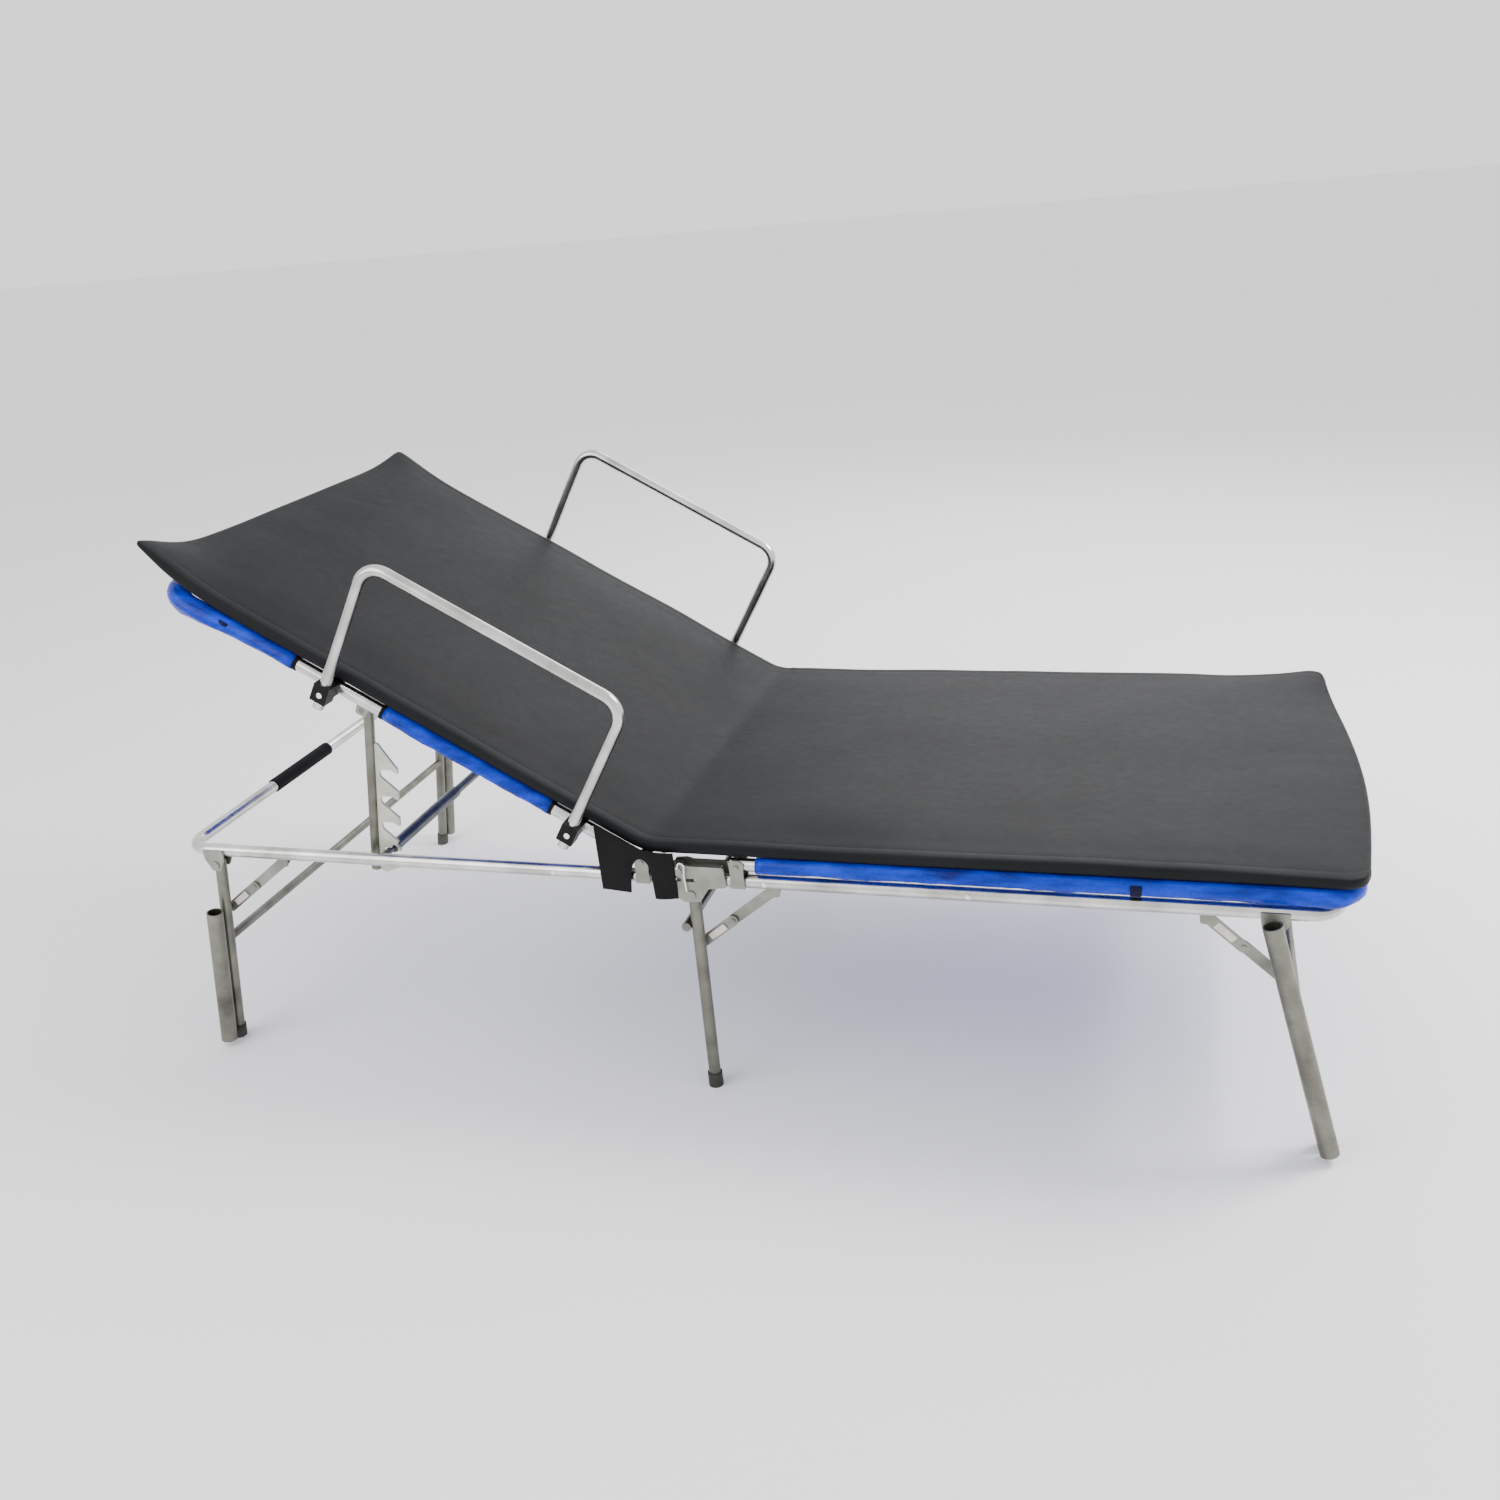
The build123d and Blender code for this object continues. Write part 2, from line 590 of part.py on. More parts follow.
def build():
    parts = {
        "foot_rail": base_rail(1, RAIL_GAP_FOOT),
        "head_rail": base_rail(-1, RAIL_GAP_HEAD),
        "hip_gussets": hip_gussets(),
        "hip_pins": bolts(HINGE_X, HINGE_Z),
        "hip_clips": hairpin_clips(),
        "head_ears": head_ears(),
        "foot_deck": drilled(u_frame(DECK_START, DECK_END, DECK_Z), BRACKET_X, DECK_Z, RIVET_R + SEAT),
        "foot_brackets": tube_brackets(1),
        "backrest_brackets": tube_brackets(-1),
        "backrest_frame": on_backrest(drilled(u_frame(BACK_TAIL, -BACK_END, 0), 0, 0, RIVET_R + RUN)),
        "fabric_foot": fabric_foot(),
        "fabric_back": fabric_back(),
        "fabric_bindings": bindings(),
        "mat_foot": mat_foot(),
        "mat_back": mat_back(),
        "mat_hip": mat_hip(),
        "carry_grip": carry_grip(),
        "rack_lugs": rack_lugs(),
        "rack_posts": rack_posts(),
        "rack_plates": rack_plates(),
        "rack_rod": rack_rod(),
        "rack_bar": rack_bar(),
    }
    for word, side in SIDES.items():
        parts[f"handrail_{word}"] = handrail(side)
        for number, s in enumerate(CLAMP_S, 1):
            parts[f"clamp_{word}_{number}"] = clamp(side, s)
    for name in LEGS:
        parts[f"{name}_leg_bolts"] = bolts(LEGS[name][0], LEG_PIVOT_Z)
        parts[f"{name}_leg_bar"] = leg_bar(name)
        parts[f"{name}_feet"] = feet(name)
        parts[f"{name}_brace_lugs"] = brace_lugs(name)
        parts[f"{name}_upper_links"] = upper_links(name)
        parts[f"{name}_lower_links"] = lower_links(name)
        for word, side in SIDES.items():
            parts[f"{name}_leg_{word}"] = leg(name, side)
    for name in SOCKET_TOP:
        parts[f"{name}_gussets"] = leg_gussets(name)
        for word, side in SIDES.items():
            parts[f"{name}_socket_{word}"] = socket(name, side)
    return parts


os.makedirs("parts", exist_ok=True)
for node, shape in build().items():
    export_step(Pos(HIP_X, 0, 0) * shape, f"parts/{node}.step")
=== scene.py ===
import json
import math
import bpy
import numpy as np
from mathutils import Matrix, Vector, noise


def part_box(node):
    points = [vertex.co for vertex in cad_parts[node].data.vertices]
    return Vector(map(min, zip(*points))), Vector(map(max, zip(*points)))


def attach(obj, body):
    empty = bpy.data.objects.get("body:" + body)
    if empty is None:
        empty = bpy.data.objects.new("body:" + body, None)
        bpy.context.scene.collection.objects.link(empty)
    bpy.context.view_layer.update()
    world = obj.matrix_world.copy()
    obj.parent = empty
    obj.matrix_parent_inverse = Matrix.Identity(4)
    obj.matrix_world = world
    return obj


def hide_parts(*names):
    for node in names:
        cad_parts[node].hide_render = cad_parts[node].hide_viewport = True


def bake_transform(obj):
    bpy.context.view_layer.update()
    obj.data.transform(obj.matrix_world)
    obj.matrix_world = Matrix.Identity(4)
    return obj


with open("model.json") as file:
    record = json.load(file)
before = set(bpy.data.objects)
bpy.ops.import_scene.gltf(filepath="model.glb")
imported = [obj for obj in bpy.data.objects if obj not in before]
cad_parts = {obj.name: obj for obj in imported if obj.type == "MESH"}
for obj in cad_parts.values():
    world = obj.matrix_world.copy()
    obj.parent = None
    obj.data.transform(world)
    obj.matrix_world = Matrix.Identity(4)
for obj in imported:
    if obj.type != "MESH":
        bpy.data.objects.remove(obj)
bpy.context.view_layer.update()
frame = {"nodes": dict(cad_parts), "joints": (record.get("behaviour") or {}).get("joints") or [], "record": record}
nodes = frame["nodes"]
joints = {j["name"]: j for j in frame["joints"]}
sides = {"left": 1, "right": -1}

# places on the cot, all read from the frame
hipX = joints["mid_legs_fold"]["pos_m"][0]
backPivot = Vector(joints["backrest_tilt"]["pos_m"])
backAngle = math.radians(-joints["backrest_tilt"]["range_deg"][0])
deckLow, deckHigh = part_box("foot_deck")
tubeR = (deckHigh.z - deckLow.z) / 2
deckZ = backPivot.z
railY = deckHigh.y - tubeR
clothFootLow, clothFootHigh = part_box("fabric_foot")
sleeveR = clothFootHigh.y - railY
matLow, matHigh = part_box("mat_foot")
railLow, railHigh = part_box("foot_rail")
railZ = (railLow.z + railHigh.z) / 2
along = Vector((-math.cos(backAngle), 0, math.sin(backAngle)))
above = Vector((math.sin(backAngle), 0, math.cos(backAngle)))


def onBack(s, y, n):
    return backPivot + along * s + above * n + Vector((0, y, 0))


def backReach(node):    # furthest distance of a node up the backrest
    return max((v.co - backPivot).dot(along) for v in nodes[node].data.vertices)


# ---- mesh helpers

def newPiece(name, verts, faces, material, smooth=True):
    mesh = bpy.data.meshes.new(name)
    mesh.from_pydata([tuple(v) for v in verts], [], faces)
    mesh.validate()
    mesh.update()
    if smooth:
        mesh.polygons.foreach_set("use_smooth", [True] * len(mesh.polygons))
    piece = bpy.data.objects.new(name, mesh)
    bpy.context.scene.collection.objects.link(piece)
    mesh.materials.append(material)
    return piece


def subdivide(piece, levels=1):
    mod = piece.modifiers.new("subdivision", "SUBSURF")
    mod.levels = mod.render_levels = levels


def loft(rings, capEnds=True):    # closed rings of equal length joined into a skin
    count = len(rings[0])
    verts = [p for ring in rings for p in ring]
    faces = []
    for i in range(len(rings) - 1):
        for j in range(count):
            k = (j + 1) % count
            faces.append((i * count + j, i * count + k, (i + 1) * count + k, (i + 1) * count + j))
    if capEnds:
        faces.append(tuple(reversed(range(count))))
        faces.append(tuple(range(len(verts) - count, len(verts))))
    return verts, faces


def addMesh(total, part):
    verts, faces = total
    shift = len(verts)
    verts.extend(part[0])
    faces.extend(tuple(i + shift for i in face) for face in part[1])


# ---- materials

def newMaterial(name):
    material = bpy.data.materials.new(name)
    material.use_nodes = True
    tree = material.node_tree
    shader = tree.nodes["Principled BSDF"]
    return material, tree, shader


def addNode(tree, kind, **inputs):
    made = tree.nodes.new(kind)
    for key, value in inputs.items():
        made.inputs[key.replace("_", " ")].default_value = value
    return made


def place(tree):
    return tree.nodes.new("ShaderNodeTexCoord").outputs["Object"]


def speckle(tree, scale, detail=4.0, roughness=0.55, stretch=None):
    made = addNode(tree, "ShaderNodeTexNoise", Scale=scale, Detail=detail, Roughness=roughness)
    where = place(tree)
    if stretch:
        mapping = tree.nodes.new("ShaderNodeMapping")
        mapping.inputs["Scale"].default_value = stretch
        tree.links.new(where, mapping.inputs["Vector"])
        where = mapping.outputs["Vector"]
    tree.links.new(where, made.inputs["Vector"])
    return made.outputs["Fac"]


def ramp(tree, source, low, high, start=0.3, end=0.7):
    made = tree.nodes.new("ShaderNodeValToRGB")
    made.color_ramp.elements[0].position = start
    made.color_ramp.elements[1].position = end
    made.color_ramp.elements[0].color = (*low, 1)
    made.color_ramp.elements[1].color = (*high, 1)
    tree.links.new(source, made.inputs["Fac"])
    return made.outputs["Color"]


def spread(tree, source, low, high):
    made = tree.nodes.new("ShaderNodeMapRange")
    made.inputs["To Min"].default_value = low
    made.inputs["To Max"].default_value = high
    tree.links.new(source, made.inputs["Value"])
    return made.outputs["Result"]


def bump(tree, shader, source, strength, distance, before=None):
    made = addNode(tree, "ShaderNodeBump", Strength=strength, Distance=distance)
    tree.links.new(source, made.inputs["Height"])
    if before is not None:
        tree.links.new(before, made.inputs["Normal"])
    tree.links.new(made.outputs["Normal"], shader.inputs["Normal"])
    return made.outputs["Normal"]


def weave(tree, pitch):    # over and under threads along and across the cot
    waves = []
    for axis in ("X", "Y"):
        made = addNode(tree, "ShaderNodeTexWave", Scale=math.pi / (10 * pitch))
        made.bands_direction = axis
        tree.links.new(place(tree), made.inputs["Vector"])
        waves.append(made.outputs["Fac"])
    joined = tree.nodes.new("ShaderNodeMath")
    joined.operation = "MULTIPLY"
    tree.links.new(waves[0], joined.inputs[0])
    tree.links.new(waves[1], joined.inputs[1])
    return joined.outputs["Value"]


matCloth = {"dark": (0.0062, 0.0065, 0.0070), "light": (0.0105, 0.0110, 0.0118), "rough": (0.42, 0.55),
            "pitch": 0.0012, "sheen": 0.01, "sheenRough": 0.45, "specular": 0.09}


def makeMatCloth():    # coated charcoal fabric, satin
    material, tree, shader = newMaterial("coated charcoal cloth")
    tree.links.new(ramp(tree, speckle(tree, 4.5), matCloth["dark"], matCloth["light"]),
                   shader.inputs["Base Color"])
    tree.links.new(spread(tree, speckle(tree, 60), *matCloth["rough"]), shader.inputs["Roughness"])
    shader.inputs["Specular IOR Level"].default_value = matCloth["specular"]
    shader.inputs["Sheen Weight"].default_value = matCloth["sheen"]
    shader.inputs["Sheen Roughness"].default_value = matCloth["sheenRough"]
    first = bump(tree, shader, weave(tree, matCloth["pitch"]), 0.22, 0.0004)
    bump(tree, shader, speckle(tree, 22, 3), 0.18, 0.004, first)
    return material


blueCloth = {"dark": (0.0004, 0.0045, 0.115), "light": (0.0006, 0.040, 0.62), "rough": (0.20, 0.36),
             "pitch": 0.0009, "coat": 0.10, "coatRough": 0.12, "specular": 0.16}


def makeBlueCloth():    # glossy royal blue coated cloth with soft puckers
    material, tree, shader = newMaterial("glossy blue cloth")
    tree.links.new(ramp(tree, speckle(tree, 26, 5, 0.6, (0.5, 1.6, 1.6)), blueCloth["dark"],
                        blueCloth["light"]), shader.inputs["Base Color"])
    tree.links.new(spread(tree, speckle(tree, 80), *blueCloth["rough"]), shader.inputs["Roughness"])
    shader.inputs["Specular IOR Level"].default_value = blueCloth["specular"]
    shader.inputs["Coat Weight"].default_value = blueCloth["coat"]
    shader.inputs["Coat Roughness"].default_value = blueCloth["coatRough"]
    first = bump(tree, shader, weave(tree, blueCloth["pitch"]), 0.12, 0.0003)
    bump(tree, shader, speckle(tree, 48, 4, 0.6, (0.4, 1.5, 1.5)), 0.45, 0.003, first)
    return material


def makeMetal(name, settings):    # plated metal: cloudy colour, fine scratches, dull patches
    material, tree, shader = newMaterial(name)
    tree.links.new(ramp(tree, speckle(tree, 14, 6), settings["dark"], settings["light"]),
                   shader.inputs["Base Color"])
    scratches = speckle(tree, 95, 8, 0.72, settings.get("grain", (1, 1, 1)))
    tree.links.new(spread(tree, scratches, *settings["rough"]), shader.inputs["Roughness"])
    shader.inputs["Metallic"].default_value = settings.get("metal", 1.0)
    bump(tree, shader, scratches, settings.get("bump", 0.08), 0.0006)
    return material


metals = {
    "tube": {"dark": (0.40, 0.385, 0.36), "light": (0.78, 0.77, 0.75), "rough": (0.14, 0.32),
             "grain": (0.3, 1, 1)},
    "leg": {"dark": (0.105, 0.102, 0.082), "light": (0.26, 0.255, 0.215), "rough": (0.32, 0.52),
            "grain": (1, 1, 0.2), "bump": 0.12},
    "fitting": {"dark": (0.17, 0.172, 0.145), "light": (0.36, 0.365, 0.32), "rough": (0.34, 0.55),
                "metal": 0.85, "bump": 0.14},
    "clip": {"dark": (0.78, 0.78, 0.77), "light": (0.93, 0.93, 0.92), "rough": (0.12, 0.22)},
    "dark_bar": {"dark": (0.045, 0.048, 0.055), "light": (0.20, 0.21, 0.22), "rough": (0.28, 0.48),
                 "metal": 0.9},
}


def makeSolid(name, settings):    # paint, plastic, foam and rubber
    material, tree, shader = newMaterial(name)
    tree.links.new(ramp(tree, speckle(tree, settings.get("patch", 18), 5), settings["dark"],
                        settings["light"]), shader.inputs["Base Color"])
    grain = speckle(tree, settings["grainScale"], 5, 0.6)
    tree.links.new(spread(tree, grain, *settings["rough"]), shader.inputs["Roughness"])
    shader.inputs["Specular IOR Level"].default_value = settings.get("specular", 0.14)
    shader.inputs["Coat Weight"].default_value = settings.get("coat", 0.0)
    bump(tree, shader, grain, settings["bump"], settings.get("depth", 0.0008))
    return material


solids = {
    "rack": {"dark": (0.40, 0.405, 0.325), "light": (0.58, 0.59, 0.50), "rough": (0.34, 0.5),
             "grainScale": 160, "bump": 0.12, "coat": 0.15, "specular": 0.4},
    "clamp": {"dark": (0.0015, 0.0015, 0.0018), "light": (0.006, 0.006, 0.0065), "rough": (0.32, 0.5),
              "grainScale": 320, "bump": 0.2},
    "grip": {"dark": (0.003, 0.003, 0.0035), "light": (0.010, 0.010, 0.011), "rough": (0.62, 0.82),
             "grainScale": 420, "bump": 0.5},
    "foot": {"dark": (0.022, 0.0215, 0.019), "light": (0.070, 0.069, 0.062), "rough": (0.5, 0.72),
             "grainScale": 240, "bump": 0.3},
    "binding": {"dark": (0.001, 0.001, 0.0015), "light": (0.0035, 0.0035, 0.0045), "rough": (0.55, 0.75),
                "grainScale": 520, "bump": 0.5},
    # flap: the mat's charcoal fabric painted far darker than the mat cloth, as painted shade on the flaps hanging
    # in shadow below the mat's edge
    "flap": {"dark": (0.0015, 0.0015, 0.0016), "light": (0.0045, 0.0045, 0.005), "rough": (0.5, 0.68),
             "grainScale": 420, "bump": 0.35},
    "tie": {"dark": (0.0006, 0.0012, 0.012), "light": (0.001, 0.003, 0.035), "rough": (0.4, 0.6),
            "grainScale": 420, "bump": 0.4},
    "label": {"dark": (0.60, 0.51, 0.47), "light": (0.78, 0.71, 0.67), "rough": (0.3, 0.42),
              "grainScale": 120, "bump": 0.06, "patch": 60},
}

finishes = {slot: makeMetal(slot, settings) for slot, settings in metals.items()}
finishes.update({slot: makeSolid(slot, settings) for slot, settings in solids.items()})
finishes["mat"] = makeMatCloth()
finishes["cloth"] = makeBlueCloth()
for part in frame["record"]["subparts"]:
    for slotPlace in nodes[part["node"]].material_slots:
        slotPlace.material = finishes[part["material_slot"]]
print("materials done")


# ---- mat: made flat, filled, bent over the hip, then parted at the butt seam

mat = {"step": 0.0125, "sideRows": 5, "corners": (0.012, 0.034), "shrink": 0.0035, "rounding": 0.009,
       "cap": 0.0055, "pressure": 4.0, "frames": 20, "bendRadius": 0.120, "seam": hipX - 0.042,
       "curl": 0.030, "curlReach": 0.14, "curlShares": ((-1, 1.0), (1, 0.35)), "flare": 0.014,
       "thin": 0.62, "tipReach": 0.07, "ripple": 0.0016, "edgeWave": 0.003, "edgeBand": 0.05,
       "hem": 0.020, "hemDepth": 0.0011, "hemHalf": 0.0022, "bow": 0.031, "bowReach": 0.30,
       "lift": 0.011, "liftReach": (0.06, 0.10), "dip": 0.004, "dipAt": 0.17, "dipReach": (0.06, 0.05)}
matWidth = matHigh.y
matBottom = matLow.z - deckZ
matTop = matHigh.z - deckZ
matFootEnd = matHigh.x - backPivot.x
matHeadEnd = backReach("mat_back")


def matRing(d):    # outline across the mat at a distance from the backrest pivot
    edge = max(min(matFootEnd - d, d + matHeadEnd), 0.0)
    corner = mat["corners"][0 if d < 0 else 1]
    short = min(edge, corner)
    width = matWidth - corner + math.sqrt(corner ** 2 - (corner - short) ** 2)
    middle = (matBottom + matTop - mat["shrink"]) / 2
    half = (matTop - mat["shrink"] - matBottom) / 2
    rounding = mat["rounding"]
    shortEdge = min(edge, rounding)
    half *= math.sqrt(max(1 - (1 - shortEdge / rounding) ** 3, 0.10))
    across = round(2 * matWidth / mat["step"])
    flat = width - rounding
    ys = [-flat + 2 * flat * i / across for i in range(across + 1)]
    hem = width - mat["hem"]
    for sign in (-1, 1):
        near = min(range(1, across), key=lambda i: abs(ys[i] - sign * hem))
        ys[near - 1:near + 2] = [sign * hem - mat["hemHalf"], sign * hem, sign * hem + mat["hemHalf"]]
    dents = [mat["hemDepth"] if abs(abs(y) - hem) < 1e-6 else 0.0 for y in ys]
    ring = [(y, middle - half) for y in ys]
    angles = [-math.pi / 2 + math.pi * (j + 1) / (mat["sideRows"] + 1) for j in range(mat["sideRows"])]
    curve = [(rounding * math.cos(a) ** 0.6, half * math.copysign(abs(math.sin(a)) ** 0.6, math.sin(a)))
             for a in angles]
    ring += [(flat + out, middle + up) for out, up in curve]
    ring += [(y, middle + half - dent) for y, dent in zip(reversed(ys), reversed(dents))]
    ring += [(-flat - out, middle + up) for out, up in reversed(curve)]
    return [(d, y, h) for y, h in ring], across


def matMesh():
    ends = [0.0, 0.0025, 0.006, 0.011]
    inside = matFootEnd + matHeadEnd - 2 * ends[-1]
    seamAt = mat["seam"] - backPivot.x
    stations = [-matHeadEnd + e for e in ends[:-1]]
    toSeam = seamAt + matHeadEnd - ends[-1]
    firstCount = round(toSeam / mat["step"])
    stations += [-matHeadEnd + ends[-1] + toSeam * i / firstCount for i in range(firstCount)]
    seamIndex = len(stations)
    rest = inside - toSeam
    restCount = round(rest / mat["step"])
    stations += [seamAt + rest * i / restCount for i in range(restCount + 1)]
    stations += [matFootEnd - e for e in reversed(ends[:-1])]
    rings = []
    for d in stations:
        ring, across = matRing(d)
        rings.append(ring)
    return rings, seamIndex, across


def sharpen(piece, rims):    # the butt seam stays square through the subdivision
    marked = set(rims)
    mesh = piece.data
    crease = mesh.attributes.new("crease_edge", "FLOAT", "EDGE")
    sharp = mesh.attributes.new("sharp_edge", "BOOLEAN", "EDGE")
    for edge in mesh.edges:
        if edge.vertices[0] in marked and edge.vertices[1] in marked:
            crease.data[edge.index].value = 1.0
            sharp.data[edge.index].value = True


def capQuads(first, across, count, flip):    # end face between the lower and upper row of one ring
    top = across + 1 + mat["sideRows"]
    faces = []
    for i in range(across):
        quad = (first + i, first + i + 1, first + top + across - i - 1, first + top + across - i)
        faces.append(quad if flip else tuple(reversed(quad)))
    right = [first + across] + [first + across + 1 + j for j in range(mat["sideRows"])] + [first + top]
    left = [first + top + across] + [first + top + across + 1 + j for j in range(mat["sideRows"])] + [first]
    for fan in (right, left):
        faces.append(tuple(reversed(fan)) if flip else tuple(fan))
    return faces


def matSkin(rings, across):
    verts, faces = loft(rings, capEnds=False)
    count = len(rings[0])
    faces += capQuads(0, across, count, False)
    faces += capQuads(len(verts) - count, across, count, True)
    return verts, faces


def fillMat(verts, faces):    # pressure swells the pad, and no point may move further than the cap
    pad = newPiece("padTrial", verts, faces, finishes["mat"])
    mod = pad.modifiers.new("cloth", "CLOTH")
    mod.settings.use_pressure = True
    mod.settings.uniform_pressure_force = mat["pressure"]
    mod.settings.effector_weights.gravity = 0
    mod.settings.quality = 4
    mod.point_cache.frame_start = 1
    mod.point_cache.frame_end = mat["frames"]
    scene = bpy.context.scene
    for moment in range(1, mat["frames"] + 1):
        scene.frame_set(moment)
    shown = pad.evaluated_get(bpy.context.evaluated_depsgraph_get())
    moved = np.array([v.co[:] for v in shown.data.vertices])
    start = np.array(verts, float)
    shift = moved - start
    length = np.linalg.norm(shift, axis=1, keepdims=True)
    shift *= np.minimum(1, mat["cap"] / np.maximum(length, 1e-9))
    scene.frame_set(1)
    bpy.data.objects.remove(pad)
    return start + shift


def bell(first, second, reach):    # a smooth bump round one place, reaching so far each way
    return math.exp(-(first / reach[0]) ** 2) * math.exp(-(second / reach[1]) ** 2)


def creaseMat(points):    # soft folds, wavy edges, curled head corners, bowed foot edge
    result = []
    for d, y, h in points:
        topShare = max(0.0, min(1.0, (h - matBottom) / (matTop - matBottom)))
        soft = noise.noise(Vector((d * 3.1, y * 4.2, 1.7))) + 0.5 * noise.noise(Vector((d * 8, y * 7, 5.3)))
        h += topShare * mat["ripple"] * 2 * soft
        edge = max(0.0, (abs(y) - matWidth + mat["edgeBand"]) / mat["edgeBand"])
        h += edge * mat["edgeWave"] * 0.5 * (1 + noise.noise(Vector((d * 6, math.copysign(3, y), 0))))
        for side, share in mat["curlShares"]:
            away = math.hypot(d + matHeadEnd, y - side * matWidth)
            near = math.exp(-(away / mat["curlReach"]) ** 2 * 3)
            tip = math.exp(-(away / mat["tipReach"]) ** 2 * 3)
            h += share * (near * mat["curl"] + (1 - topShare) * tip * mat["thin"] * (matTop - matBottom))
            y += side * share * near * mat["flare"]
            d -= share * near * mat["flare"]
        across = (matWidth - y) / (2 * matWidth)
        toFoot = max(0.0, 1 - (matFootEnd - d) / mat["bowReach"])
        d += toFoot ** 2 * mat["bow"] * math.sin(math.pi * max(0.0, min(1.0, across)) ** 1.2)
        farCorner = bell(matFootEnd - d, y - matWidth, mat["liftReach"])
        farDip = bell(matFootEnd - d - mat["dipAt"], y - matWidth, mat["dipReach"])
        h += farCorner * mat["lift"] - topShare * farDip * mat["dip"]
        result.append((d, y, max(h, matBottom)))
    return result


def bendMat(d, y, h):    # flat place to the bent shape: a round bend over the hip, straight each side
    half = backAngle / 2
    reach = mat["bendRadius"] * math.tan(half)
    if d >= reach:
        return backPivot + Vector((d, y, h))
    if d <= -reach:
        return onBack(-d, y, h)
    angle = half * (1 - d / reach)
    centre = backPivot + Vector((reach, 0, mat["bendRadius"]))
    out = Vector((-math.sin(angle), 0, -math.cos(angle)))
    return centre + out * (mat["bendRadius"] - h) + Vector((0, y, 0))


matRings, seamIndex, acrossCount = matMesh()
ringCount = len(matRings[0])
matVerts, matFaces = matSkin(matRings, acrossCount)
matVerts = fillMat(matVerts, matFaces)
bent = [bendMat(*p) for p in creaseMat(matVerts)]
bentRings = [bent[i:i + ringCount] for i in range(0, len(bent), ringCount)]
matPieces = {}
for name, part, covers in (("matSeat", bentRings[seamIndex:], ("mat_foot", "mat_hip")),
                           ("matBack", bentRings[:seamIndex + 1], ("mat_back",))):
    piece = newPiece(name, *matSkin(part, acrossCount), finishes["mat"])
    last = (len(part) - 1) * ringCount
    sharpen(piece, range(ringCount) if name == "matSeat" else range(last, last + ringCount))
    subdivide(piece)
    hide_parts(*covers)
    matPieces[name] = piece
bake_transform(matPieces["matSeat"])
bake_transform(matPieces["matBack"])
print("mat done")


# ---- blue cloth: a sleeve sewn round the tubes and a sheet pulled tight between them

cloth = {"start": clothFootLow.x, "bend": 0.048, "around": 28, "step": 0.011, "sheetStep": 0.024,
         "fullHead": 0.012, "fullFoot": 0.004, "fullReach": 0.11, "fullAngle": 0.85, "bulge": 0.0022,
         "sag": 0.004, "thick": 0.0008, "inset": 0.004, "backInset": 0.022}


def spanPoints(start, end, half, turn):    # near side, round the end, far side
    sign = 1 if end > start else -1
    straight = abs(end - start) - turn
    across = 2 * (half - turn)
    quarter = turn * math.pi / 2
    total = 2 * straight + across + 2 * quarter
    count = round(total / cloth["step"])
    result = []
    for i in range(count + 1):
        t = total * i / count
        if t <= straight:
            x, y, angle = start + sign * t, -half, 0.0
        elif t <= straight + quarter:
            angle = (t - straight) / turn
            x = end - sign * turn + sign * turn * math.sin(angle)
            y = -half + turn - turn * math.cos(angle)
        elif t <= straight + quarter + across:
            x, y, angle = end, -half + turn + t - straight - quarter, math.pi / 2
        elif t <= straight + 2 * quarter + across:
            angle = math.pi / 2 + (t - straight - quarter - across) / turn
            x = end - sign * turn + sign * turn * math.sin(angle)
            y = half - turn - turn * math.cos(angle)
        else:
            x, y, angle = end - sign * (t - straight - 2 * quarter - across), half, math.pi
        outward = Vector((sign * math.sin(angle), -math.cos(angle), 0))
        result.append((Vector((x, y, 0)), outward))
    return result


def sleeveSkin(points, seed, full=0.0):    # tube of cloth with puckers that stand out below and outside
    rings = []
    end = max((q for q, _ in points), key=lambda q: abs(q.x - points[0][0].x)).x
    for k, (p, out) in enumerate(points):
        corner = Vector((end, math.copysign(railY, p.y), 0))
        near = math.exp(-((p - corner).length / cloth["fullReach"]) ** 2)
        ring = []
        for j in range(cloth["around"]):
            a = 2 * math.pi * j / cloth["around"]
            up, side = math.sin(a), math.cos(a)
            free = max(0.0, min(1.0, 0.45 - up))
            pucker = noise.noise(Vector((k * 0.16, a * 1.3, seed))) + 0.6 * noise.noise(
                Vector((k * 0.5, a * 2.4, seed + 9)))
            r = sleeveR - 0.0003 + free * cloth["bulge"] * max(0.0, 0.45 + pucker)
            r += full * near * max(0.0, math.cos(a + cloth["fullAngle"])) * (0.85 + 0.2 * pucker)
            ring.append(p + out * (side * r) + Vector((0, 0, up * r)))
        rings.append(ring)
    outer, faces = loft(rings, capEnds=False)
    inner = [[p + (q - p).normalized() * (tubeR + 0.0004) for q in ring]
             for (p, _), ring in zip(points, rings)]
    count = cloth["around"]
    shift = len(outer)
    innerVerts, innerFaces = loft(inner, capEnds=False)
    faces += [tuple(reversed([i + shift for i in face])) for face in innerFaces]
    last = (len(rings) - 1) * count
    for j in range(count):
        k = (j + 1) % count
        faces.append((j, shift + j, shift + k, k))
        faces.append((last + j, last + k, shift + last + k, shift + last + j))
    return outer + innerVerts, faces


